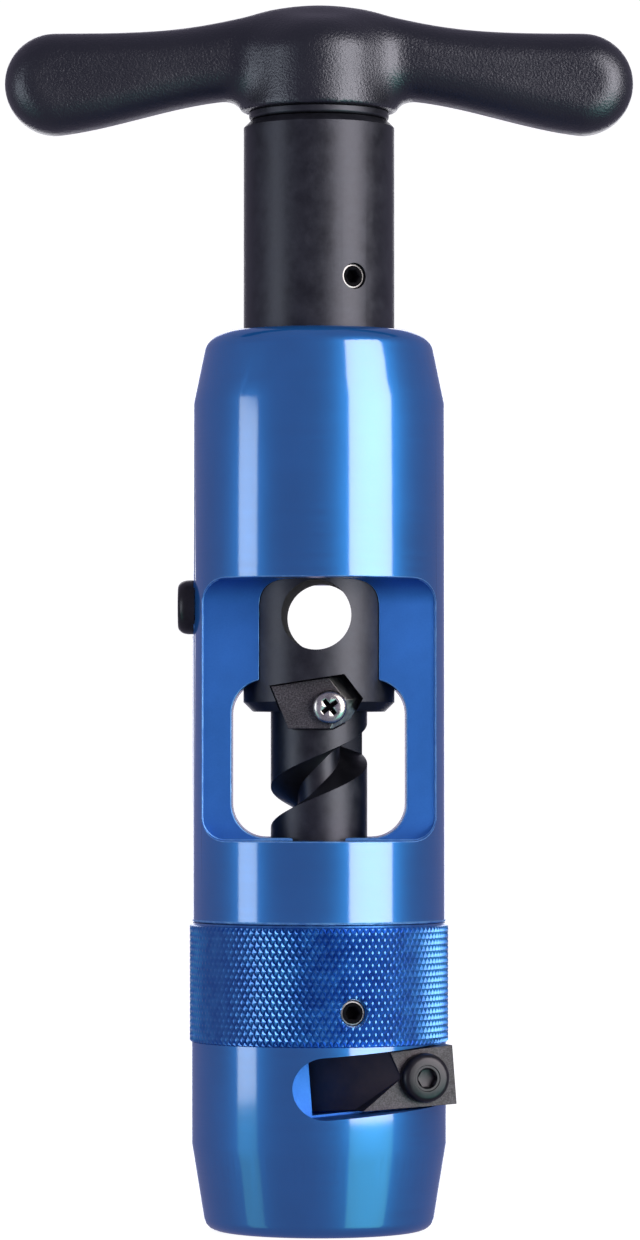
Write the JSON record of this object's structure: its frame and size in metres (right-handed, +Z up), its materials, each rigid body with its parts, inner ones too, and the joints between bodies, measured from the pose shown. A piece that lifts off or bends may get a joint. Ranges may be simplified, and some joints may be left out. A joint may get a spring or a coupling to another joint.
{
  "type": "coaxial cable coring and stripping tool",
  "caption": "Hand tool that cores, strips and deburrs the end of hard-line coaxial cable: anodised barrel, fluted auger, side blade and T-handle.",
  "frame": {"origin": "centre of the cable bore's mouth on the flat base of the stripping head", "axes": "+Z up the tool to the T-handle; -Y is the front, where the facing blade shows in the window; +X along the T-handle to the jacket blade's screw end"},
  "size_m": [0.0746, 0.0306, 0.1449],
  "materials": {
    "blue_anodised": "turned aluminium, glossy blue anodising",
    "black_oxide": "black oxide steel, satin",
    "handle_black": "cast metal, fine wrinkle black coating",
    "blade_steel": "ground tool steel, dark brown-grey",
    "screw_black": "black oxide screw steel",
    "screw_bright": "nickel-plated screw steel",
    "stud_steel": "turned bright steel"
  },
  "bodies": {
    "barrel": {"tool_body": "blue_anodised", "spindle": "black_oxide", "coring_auger": "black_oxide", "facing_blade": "blade_steel"},
    "head": {"stripping_head": "blue_anodised", "jacket_blade": "blade_steel"},
    "handle": {"t_handle": "handle_black", "handle_stud": "stud_steel", "handle_collar": "black_oxide"},
    "retaining_screw": {"retaining_screw": "screw_black"},
    "shank_set_screw": {"shank_set_screw": "screw_black"},
    "auger_set_screw": {"auger_set_screw": "screw_black"},
    "facing_blade_screw": {"facing_blade_screw": "screw_bright"},
    "head_set_screw": {"head_set_screw": "screw_black"},
    "jacket_blade_screw": {"jacket_blade_screw": "screw_black"}
  },
  "joints": [
    {"name": "handle_pull", "type": "slide", "parent": "barrel", "child": "handle", "axis": [0, 0, 1], "range_m": [0, 0.024]},
    {"name": "head_turn", "type": "hinge", "parent": "barrel", "child": "head", "pos_m": [0, 0, 0.03], "axis": [0, 0, 1], "continuous": true},
    {"name": "retaining_screw_turn", "type": "hinge", "parent": "barrel", "child": "retaining_screw", "pos_m": [-0.01465, 0, 0.0734], "axis": [-1, 0, 0], "continuous": true},
    {"name": "shank_set_screw_turn", "type": "hinge", "parent": "barrel", "child": "shank_set_screw", "pos_m": [0.00399, -0.00751, 0.112], "axis": [0.4695, -0.8829, 0], "continuous": true},
    {"name": "auger_set_screw_turn", "type": "hinge", "parent": "barrel", "child": "auger_set_screw", "pos_m": [0, 0.0088, 0.0642], "axis": [0, 1, 0], "continuous": true},
    {"name": "facing_blade_screw_turn", "type": "hinge", "parent": "barrel", "child": "facing_blade_screw", "pos_m": [0.00125, -0.0073, 0.0615], "axis": [0, -1, 0], "continuous": true},
    {"name": "head_set_screw_turn", "type": "hinge", "parent": "head", "child": "head_set_screw", "pos_m": [0.00389, -0.01392, 0.0261], "axis": [0.2689, -0.9632, 0], "continuous": true},
    {"name": "jacket_blade_screw_turn", "type": "hinge", "parent": "head", "child": "jacket_blade_screw", "pos_m": [0.01215, -0.00904, 0.01838], "axis": [0.2924, -0.9563, 0], "continuous": true}
  ]
}
